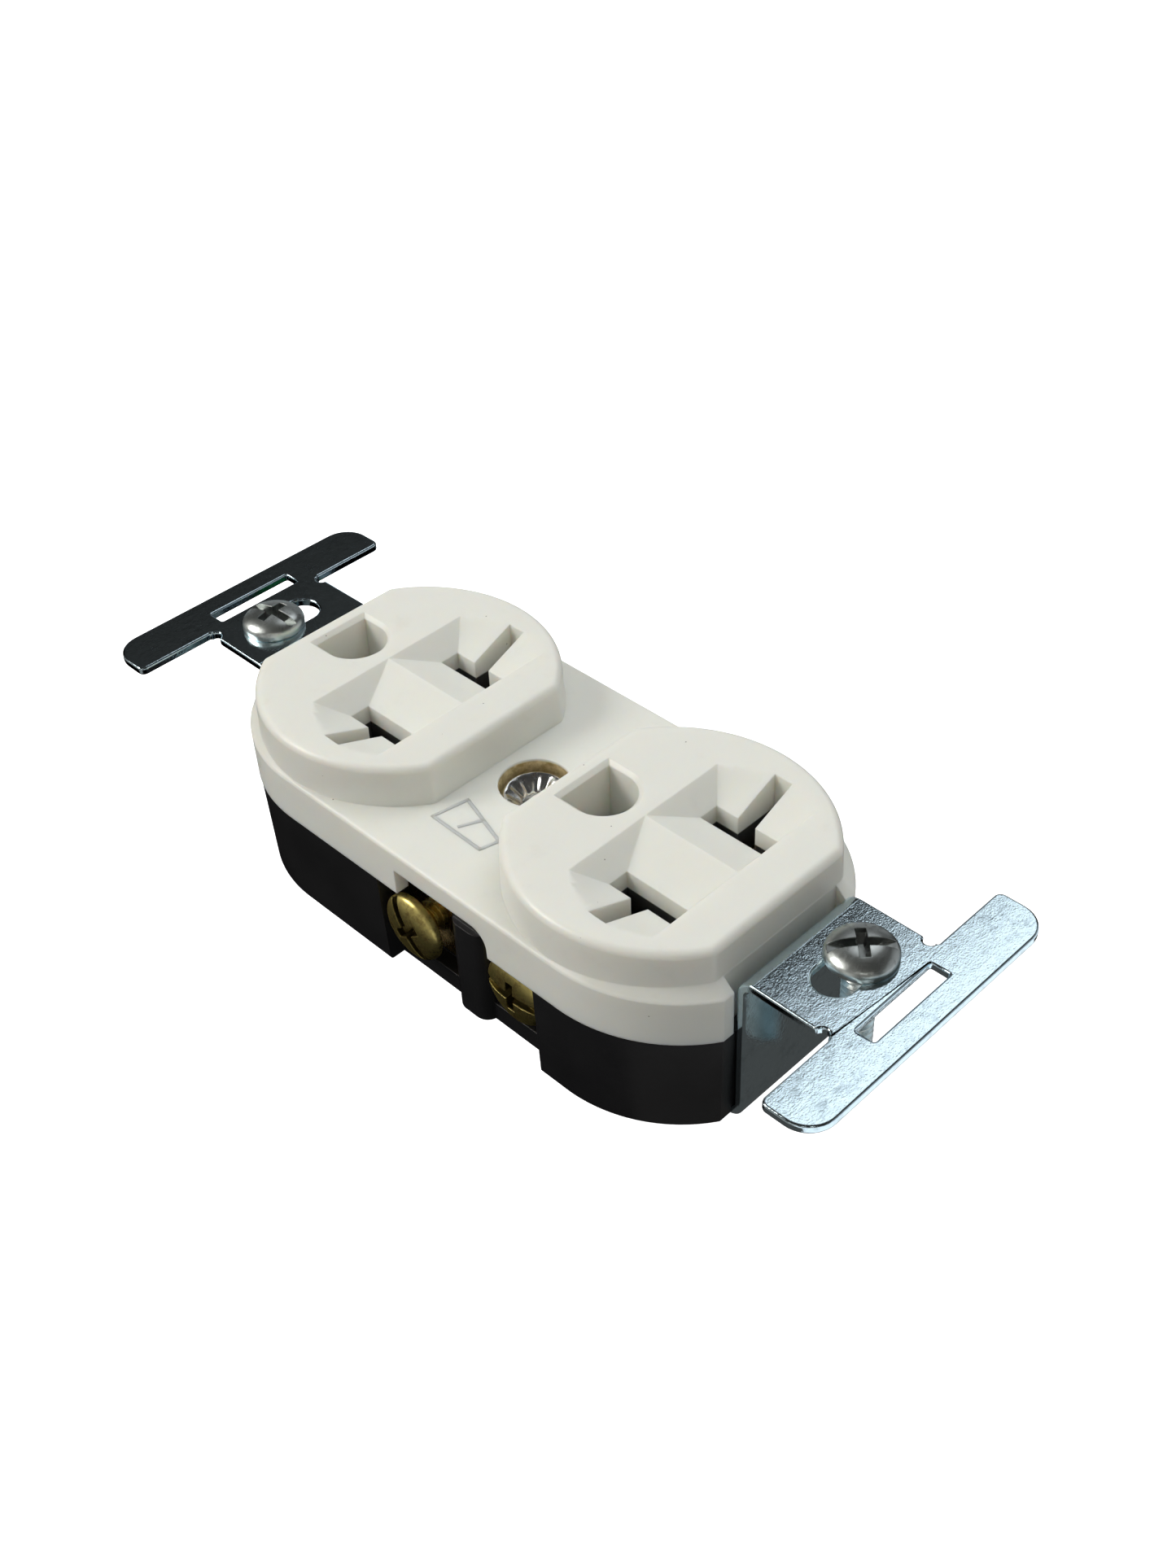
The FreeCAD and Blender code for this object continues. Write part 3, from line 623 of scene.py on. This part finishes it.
def ridge(bm, start, end):
    """Low bar with a rounded crown on the deck, from start to end in millimetres."""
    width, height = FRAME_RIDGE
    start, end = Vector(start) * MM, Vector(end) * MM
    run = end - start
    made = bmesh.ops.create_cube(bm, size=1.0)["verts"]
    bmesh.ops.scale(bm, vec=(run.length + width * 0.8, width, height), verts=made)
    top = [e for e in bm.edges if all(v in made and v.co.z > 0 for v in e.verts)]
    rounded = bmesh.ops.bevel(bm, geom=top, offset=height * 0.6, offset_type="OFFSET",
                              segments=2, profile=0.5, affect="EDGES", material=-1)
    made = list({v for v in made + rounded["verts"] if v.is_valid})
    turn = Matrix.Rotation(math.atan2(run.y, run.x), 4, "Z")
    middle = (start + end) / 2
    place = Matrix.Translation((middle.x, middle.y, DECK_Z + height * 0.2))
    bmesh.ops.transform(bm, matrix=place @ turn, verts=made)


class OUTLET_OT_cover(bpy.types.Operator):
    """White face cover with both faces, deck, shoulder and skirt"""

    bl_idname = "outlet.cover"
    bl_label = "Face cover"

    def execute(self, context):
        dressed("face_cover", "white")
        bm = bmesh.new()
        for start, end in zip(FRAME_CORNERS, FRAME_CORNERS[1:]):
            ridge(bm, start, end)
        ridge(bm, *FRAME_DIVIDER)
        keep_piece("deck_frame", to_mesh(bm, "deck_frame"), "white", BODY)
        return {"FINISHED"}


class OUTLET_OT_housing(bpy.types.Operator):
    """Black base with its terminal bays"""

    bl_idname = "outlet.housing"
    bl_label = "Base housing"

    def execute(self, context):
        dressed("base_housing", "black")
        return {"FINISHED"}


class OUTLET_OT_strap(bpy.types.Operator):
    """Zinc-plated strap around the back, with its ears"""

    bl_idname = "outlet.strap"
    bl_label = "Mounting strap"

    def execute(self, context):
        dressed("mounting_strap", "zinc", context.scene.outlet_edges.strap)
        return {"FINISHED"}


class OUTLET_OT_rivet(bpy.types.Operator):
    """Hollow centre rivet with its fluted funnel"""

    bl_idname = "outlet.rivet"
    bl_label = "Centre rivet"

    def execute(self, context):
        low, high = RIVET_BOX
        lip, bore, tube = 3.45 * MM, 1.42 * MM, 2.3 * MM
        throat_z = high.z - 1.25 * MM
        foot, foot_z = high.x, low.z + 0.5 * MM
        rounding = SMALL_ROUND
        outline = [
            (tube, high.z - 0.85 * MM), (lip, high.z - 0.14 * MM), (lip, high.z - 0.05 * MM),
            (lip - 0.07 * MM, high.z), (lip - 0.22 * MM, high.z)]
        rings = 10
        for ring in range(1, rings + 1):
            share = ring / rings
            inner = (lip - 0.3 * MM) + (bore + 0.06 * MM - lip + 0.3 * MM) * share
            outline.append((inner, high.z - 0.08 * MM - (high.z - throat_z) * share ** 1.15))
        outline += [
            (bore, throat_z - 0.2 * MM), (bore, low.z + rounding), (bore + rounding, low.z),
            (foot - rounding, low.z), (foot, low.z + rounding), (foot, foot_z - rounding),
            (foot - rounding, foot_z), (tube, foot_z)]
        flutes = 12
        bm = spun(outline, flutes * 8, True)
        for vert in bm.verts:
            radius = math.hypot(vert.co.x, vert.co.y)
            if bore + 0.02 * MM < radius < lip - 0.25 * MM and vert.co.z > throat_z - 0.1 * MM:
                share = (radius - bore) / (lip - bore)
                wave = math.cos(flutes * math.atan2(vert.co.y, vert.co.x))
                vert.co.z += 0.11 * MM * wave * math.sin(math.pi * min(1, share * 1.15)) ** 0.7
        keep_piece("center_rivet_body", to_mesh(bm, "center_rivet", math.radians(50)), "rivet",
                   BODY, ["center_rivet"])
        return {"FINISHED"}


class OUTLET_OT_mounting_screws(bpy.types.Operator):
    """The two long screws in the ears"""

    bl_idname = "outlet.mounting_screws"
    bl_label = "Mounting screws"

    def execute(self, context):
        head_height, rim = 2.0 * MM, 0.55 * MM
        for node, degrees in (("mounting_screw_upper", 136), ("mounting_screw_lower", 98)):
            screw_piece(node, (0, 0, 1), math.radians(degrees), head_height, rim,
                        "screw")
        return {"FINISHED"}


class OUTLET_OT_terminal_screws(bpy.types.Operator):
    """The four brass terminal screws"""

    bl_idname = "outlet.terminal_screws"
    bl_label = "Terminal screws"

    def execute(self, context):
        head_height, rim = 1.7 * MM, 0.6 * MM
        for side, outward in (("right", 1), ("left", -1)):
            for place, degrees in (("lower", 35), ("upper", 90)):
                screw_piece(f"terminal_screw_{side}_{place}", (outward, 0, 0),
                            math.radians(degrees), head_height, rim, "terminal")
        return {"FINISHED"}


class OUTLET_OT_ground_screw(bpy.types.Operator):
    """The green ground screw on its tab"""

    bl_idname = "outlet.ground_screw"
    bl_label = "Ground screw"

    def execute(self, context):
        head_height, rim = 1.9 * MM, 0.7 * MM
        screw_piece("ground_screw", (0, -1, 0), math.radians(20), head_height, rim,
                    "green")
        return {"FINISHED"}


class OUTLET_OT_brass_work(bpy.types.Operator):
    """Side plates, blade contacts, ground clips and their rivets"""

    bl_idname = "outlet.brass_work"
    bl_label = "Brass work"

    def execute(self, context):
        kinds = ("side_plate", "blade_contact", "ground_clip", "ground_rivet")
        for name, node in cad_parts.items():
            if name.startswith(kinds):
                node.data.materials.clear()
                node.data.materials.append(finish("brass"))
        return {"FINISHED"}


SWEEP_RADIUS = 3.0
WARM = (1.0, 0.97, 0.92)
COOL = (0.94, 0.97, 1.0)
# name, place, size, radiance, what it lights, tint, what it faces
LAMPS = (
    ("key", (0.36, -0.34, 0.36), (0.26, 0.26), 9.6, "both", WARM, (0, 0, 0)),
    ("overhead", (0.0, 0.0, 0.60), (1.2, 1.2), 0.12, "fill", WARM, (0, 0, -1)),
    ("window", (-0.50, 0.02, 0.50), (0.9, 0.50), 1.6, "fill", COOL, (-0.50, 0.02, -1)),
    ("ear_card", (-0.377, -0.131, 0.48), (0.40, 0.162), 1.5, "shine", COOL, (-0.377, -0.131, -1)),
    ("crest_strip", (-0.40, -0.40, 0.50), (0.6, 0.04), 1.4, "shine", COOL, (-0.40, -0.40, -1)),
    ("near_glint", (0.32, 0.20, 0.30), (0.05, 0.03), 9.0, "shine", WARM, (0, 0, 0)),
    ("far_glint", (0.20, 0.33, 0.27), (0.05, 0.03), 9.0, "shine", WARM, (0, 0, 0)),
    ("side_card", (0.44, 0.06, 0.10), (0.20, 0.08), 1.2, "shine", WARM, (0, 0, 0)),
    ("floor_card", (-0.05, 0.30, -0.024), (0.60, 0.48), 1.2, "shine", COOL, (-0.05, 0.30, 1)),
    ("floor_shade", (-0.015, 0.052, -0.0235), (0.13, 0.046), 0.075, "shine", WARM, (-0.015, 0.052, 1)),
    ("floor_glow", (0.28, -0.10, -0.024), (0.46, 0.50), 0.30, "shine", WARM, (0.28, -0.10, 1)),
    ("high_glow", (0.0, 0.0, 0.80), (2.4, 2.4), 0.035, "shine", WARM, (0, 0, -1)),
    ("ring_one", (-0.64, 0.64, 0.24), (1.3, 0.78), 0.30, "shine", COOL, (0, 0, 0.24)),
    ("ring_two", (-0.66, -0.66, 0.10), (1.3, 0.50), 0.20, "shine", COOL, (0, 0, 0.10)),
    ("ring_three", (0.68, -0.68, 0.10), (1.3, 0.50), 0.20, "shine", WARM, (0, 0, 0.10)),
    ("ring_four", (0.70, 0.70, 0.10), (1.3, 0.50), 0.20, "shine", WARM, (0, 0, 0.10)),
    ("floor_wash", (-0.34, -0.34, -0.05), (0.60, 0.60), 0.20, "shine", COOL, (-0.34, -0.34, 1)),
)


class OUTLET_OT_stage(bpy.types.Operator):
    """Floor, soft light and camera"""

    bl_idname = "outlet.stage"
    bl_label = "Stage"

    def execute(self, context):
        stage = context.scene.outlet_stage
        self.backdrop()
        self.sky(stage)
        for name, place, size, radiance, reach, tint, target in LAMPS:
            self.lamp(name, place, size, radiance, reach, tint, target)
        self.camera(stage)
        return {"FINISHED"}

    def backdrop(self):
        """Pale floor that sweeps up into a dome around the outlet."""
        bm = bmesh.new()
        bmesh.ops.create_uvsphere(bm, u_segments=64, v_segments=32, radius=SWEEP_RADIUS)
        floor_z = CAD_BOX[0].z
        for vert in bm.verts:
            vert.co.z = max(vert.co.z, floor_z)
        bmesh.ops.remove_doubles(bm, verts=bm.verts, dist=MERGE)
        bmesh.ops.recalc_face_normals(bm, faces=bm.faces)
        bmesh.ops.reverse_faces(bm, faces=bm.faces)
        mesh = to_mesh(bm, "floor", math.radians(20))
        mesh.materials.append(finish("floor"))
        floor = bpy.data.objects.new("floor", mesh)
        floor.visible_diffuse = False
        floor.visible_glossy = False
        floor.visible_shadow = False
        bpy.context.scene.collection.objects.link(floor)

    def sky(self, stage):
        scene = bpy.context.scene
        scene.view_settings.view_transform = "Standard"
        world = bpy.data.worlds.new("studio")
        scene.world = world
        world.use_nodes = True
        world.cycles_visibility.glossy = False
        back = world.node_tree.nodes["Background"]
        back.inputs["Color"].default_value = (1.0, 0.985, 0.96, 1.0)
        back.inputs["Strength"].default_value = stage.sky

    def lamp(self, name, place, size, radiance, reach, tint, target):
        """Soft box aimed at a target; reach says what it lights."""
        light = bpy.data.lights.new(name, "AREA")
        light.shape = "RECTANGLE"
        light.size, light.size_y = size
        light.energy = radiance * math.pi * size[0] * size[1]
        light.color = tint
        lamp = bpy.data.objects.new(name, light)
        bpy.context.scene.collection.objects.link(lamp)
        lamp.visible_camera = False
        lamp.visible_diffuse = reach != "shine"
        lamp.visible_glossy = reach != "fill"
        lamp.location = place
        aim = Vector(place) - Vector(target)
        lamp.rotation_euler = aim.to_track_quat("Z", "Y").to_euler()

    def camera(self, stage):
        azimuth, elevation = stage.azimuth, stage.elevation
        back = Vector((math.sin(azimuth) * math.cos(elevation),
                       -math.cos(azimuth) * math.cos(elevation), math.sin(elevation)))
        right = UP.cross(back).normalized()
        up = back.cross(right)
        turn = Matrix.Rotation(stage.roll, 3, back)
        right, up = turn @ right, turn @ up
        place = (Vector((0, 0, FACE_Z)) + back * stage.distance
                 + right * stage.aim_right + up * stage.aim_up)
        lens = bpy.data.cameras.new("camera")
        lens.sensor_fit = "VERTICAL"
        lens.sensor_height = 36.0
        lens.lens = stage.lens
        lens.clip_start = 0.005
        lens.clip_end = 20
        camera = bpy.data.objects.new("camera", lens)
        bpy.context.scene.collection.objects.link(camera)
        axes = Matrix((right, up, back)).transposed()
        camera.matrix_world = Matrix.Translation(place) @ axes.to_4x4()
        bpy.context.scene.camera = camera


def dressed(node, key, width=0.0):
    """A merged copy of a node in its finish; a width above zero rounds its sharp edges."""
    bm = merged_copy(node)
    piece = keep_piece(node + "_body", to_mesh(bm, node), key, BODY, [node])
    if width > 0:
        rounding = piece.modifiers.new("rounding", "BEVEL")
        rounding.width = width
        rounding.segments = 3
        rounding.limit_method = "ANGLE"
        rounding.angle_limit = math.radians(40)
        rounding.use_clamp_overlap = False
        rounding.miter_outer = "MITER_ARC"
    shading = piece.modifiers.new("flat_faces", "WEIGHTED_NORMAL")
    shading.keep_sharp = True
    shading.weight = 80
    return piece


class OUTLET_PT_panel(bpy.types.Panel):
    """Lists the outlet's pieces"""

    bl_label = "Outlet"
    bl_idname = "OUTLET_PT_panel"
    bl_space_type = "VIEW_3D"
    bl_region_type = "UI"
    bl_category = "Outlet"

    def draw(self, context):
        for operator in OPERATORS:
            self.layout.operator(operator.bl_idname)


GROUPS = {
    "outlet_colors": OutletColors,
    "outlet_edges": OutletEdges,
    "outlet_screws": OutletScrews,
    "outlet_stage": OutletStage,
}
OPERATORS = (
    OUTLET_OT_cover,
    OUTLET_OT_housing,
    OUTLET_OT_strap,
    OUTLET_OT_rivet,
    OUTLET_OT_mounting_screws,
    OUTLET_OT_terminal_screws,
    OUTLET_OT_ground_screw,
    OUTLET_OT_brass_work,
    OUTLET_OT_stage,
)


def register():
    for name, group in GROUPS.items():
        bpy.utils.register_class(group)
        setattr(bpy.types.Scene, name, PointerProperty(type=group))
    for item in OPERATORS + (OUTLET_PT_panel,):
        bpy.utils.register_class(item)


def unregister():
    for item in reversed(OPERATORS + (OUTLET_PT_panel,)):
        bpy.utils.unregister_class(item)
    for name, group in GROUPS.items():
        delattr(bpy.types.Scene, name)
        bpy.utils.unregister_class(group)


def main():
    register()
    for operator in OPERATORS:
        category, name = operator.bl_idname.split(".")
        getattr(getattr(bpy.ops, category), name)()


if __name__ == "__main__":
    main()
